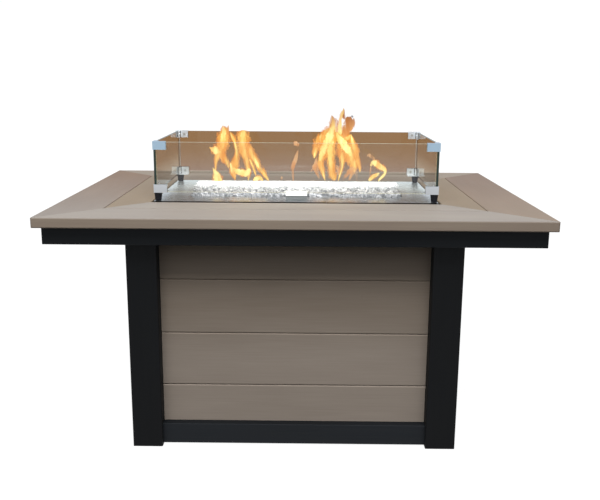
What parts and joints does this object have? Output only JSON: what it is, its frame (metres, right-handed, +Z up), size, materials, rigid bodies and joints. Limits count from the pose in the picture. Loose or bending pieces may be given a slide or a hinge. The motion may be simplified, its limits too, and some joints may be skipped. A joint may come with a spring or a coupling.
{
  "type": "fire pit table",
  "caption": "Rectangular poly lumber fire pit table with a drop-in gas burner, crushed glass, a lift-off glass wind guard and a cupboard door.",
  "frame": {"origin": "on the floor under the centre of the table top", "axes": "+Z up, +X towards the right end with the controls, front faces -Y, cupboard door at +Y"},
  "size_m": [1.25, 0.914, 0.769],
  "materials": {
    "poly_taupe": "weathered taupe poly lumber, brushed grain",
    "poly_black": "black poly lumber, brushed grain",
    "guard_glass": "clear tempered glass with green edges",
    "clip_aluminium": "satin",
    "foot_rubber": "matt black",
    "stainless": "polished stainless steel",
    "crushed_glass": "clear crushed glass",
    "brass": "machined",
    "line_aluminium": "plain tube",
    "lead_sleeve": "sleeved leads",
    "knob_plastic": "black moulded",
    "button_plastic": "black moulded",
    "black_steel": "black powder coat"
  },
  "bodies": {
    "table": {"air_mixer": "brass", "apron_back": "poly_black", "apron_front": "poly_black", "apron_left": "poly_black", "apron_right": "poly_black", "bottom_rail_back": "poly_black", "bottom_rail_front": "poly_black", "bottom_rail_left": "poly_black", "bottom_rail_right": "poly_black", "burner_pan": "stainless", "burner_tube": "stainless", "catch_body": "knob_plastic", "control_plate": "stainless", "door_frame": "poly_black", "floor_shelf": "poly_black", "front_slat_1": "poly_taupe", "front_slat_2": "poly_taupe", "front_slat_3": "poly_taupe", "front_slat_4": "poly_taupe", "gas_line": "line_aluminium", "gas_valve": "brass", "glass_media": "crushed_glass", "hinge_frame_leaves": "black_steel", "igniter_body": "knob_plastic", "inner_board_back": "poly_taupe", "inner_board_front": "poly_taupe", "inner_board_left": "poly_taupe", "inner_board_right": "poly_taupe", "inner_frame": "poly_black", "left_slats": "poly_taupe", "leg_back_left": "poly_black", "leg_back_right": "poly_black", "leg_front_left": "poly_black", "leg_front_right": "poly_black", "pilot_burner": "stainless", "pilot_hood": "stainless", "pilot_leads": "lead_sleeve", "right_slats": "poly_taupe", "top_battens": "poly_black", "top_board_back": "poly_taupe", "top_board_front": "poly_taupe", "top_board_left": "poly_taupe", "top_board_right": "poly_taupe"},
    "door": {"door_slats": "poly_taupe", "door_battens": "poly_black", "hinge_door_leaves": "black_steel", "door_knob": "black_steel", "strike_plate": "stainless"},
    "valve_plug": {"valve_plug": "brass"},
    "knob": {"valve_stem": "brass", "control_knob": "knob_plastic"},
    "igniter_button": {"igniter_button": "button_plastic"},
    "wind_guard": {"pane_front": "guard_glass", "pane_back": "guard_glass", "pane_left": "guard_glass", "pane_right": "guard_glass", "guard_clips": "clip_aluminium", "clip_screws": "stainless", "guard_feet": "foot_rubber"}
  },
  "joints": [
    {"name": "door_hinge", "type": "hinge", "parent": "table", "child": "door", "pos_m": [-0.2997, 0.3674, 0.2898], "axis": [0, 0, 1], "range_deg": [0, 110]},
    {"name": "knob_turn", "type": "hinge", "parent": "table", "child": "valve_plug", "pos_m": [0.3774, -0.039, 0.4871], "axis": [1, 0, 0], "range_deg": [0, 180]},
    {"name": "knob_push", "type": "slide", "parent": "valve_plug", "child": "knob", "axis": [-1, 0, 0], "range_m": [0, 0.005], "stiffness_N_per_m": 600},
    {"name": "igniter_push", "type": "slide", "parent": "table", "child": "igniter_button", "axis": [-1, 0, 0], "range_m": [0, 0.006], "stiffness_N_per_m": 400},
    {"name": "guard_lift", "type": "slide", "parent": "table", "child": "wind_guard", "axis": [0, 0, 1], "range_m": [0, 0.25]}
  ]
}
